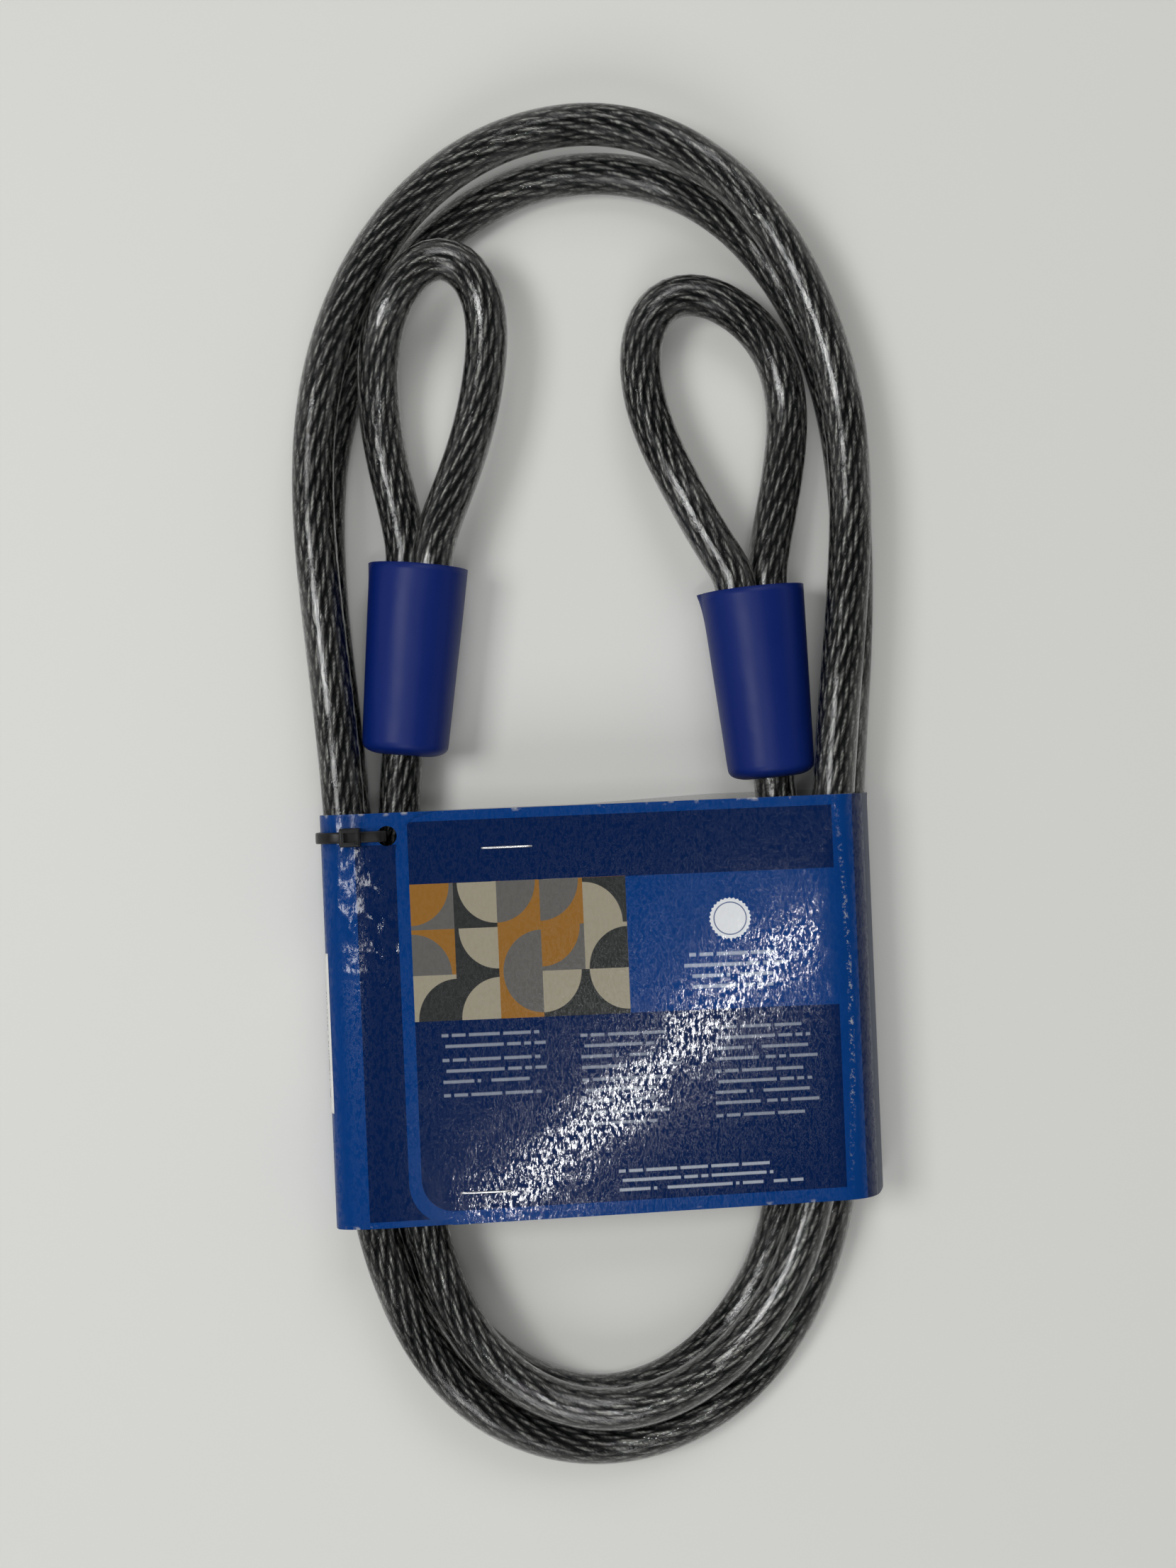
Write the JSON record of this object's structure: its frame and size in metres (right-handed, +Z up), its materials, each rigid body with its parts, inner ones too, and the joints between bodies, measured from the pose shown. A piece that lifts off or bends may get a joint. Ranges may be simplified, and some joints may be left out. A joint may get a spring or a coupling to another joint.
{
  "type": "double-loop security cable",
  "caption": "Coiled wire rope in a clear coat with an eye at each end, slip-on covers on the crimps, and a stapled card band and a cable tie round the coil.",
  "frame": {"origin": "middle of the underside of the whole object's box, on the surface it lies on", "axes": "+Z up from that surface, +Y towards the end of the coil where the two eyes lie, +X to the right seen from above"},
  "size_m": [0.1413, 0.3237, 0.027],
  "materials": {
    "steel_rope": "bright stranded wire",
    "vinyl_coat": "smoke-clear glossy vinyl",
    "ferrule_metal": "swaged, satin",
    "cover_vinyl": "satin dipped vinyl",
    "printed_card": "laminated printed card",
    "staple_wire": "bright wire",
    "tie_nylon": "satin nylon",
    "label_paper": "paper label"
  },
  "bodies": {
    "cable": {"steel_rope": "steel_rope", "left_eye_coat": "vinyl_coat", "coil_coat": "vinyl_coat", "right_eye_coat": "vinyl_coat", "left_ferrule": "ferrule_metal", "right_ferrule": "ferrule_metal", "card_wrap": "printed_card", "top_staple": "staple_wire", "bottom_staple": "staple_wire", "cable_tie": "tie_nylon", "barcode_label": "label_paper"},
    "left_cover": {"left_cover": "cover_vinyl"},
    "right_cover": {"right_cover": "cover_vinyl"}
  },
  "joints": [
    {"name": "left_cover_slide", "type": "slide", "parent": "cable", "child": "left_cover", "axis": [-0.075, -0.9972, 0], "range_m": [0, 0.006]},
    {"name": "right_cover_slide", "type": "slide", "parent": "cable", "child": "right_cover", "axis": [0.108, -0.9942, 0], "range_m": [0, 0.003]}
  ]
}
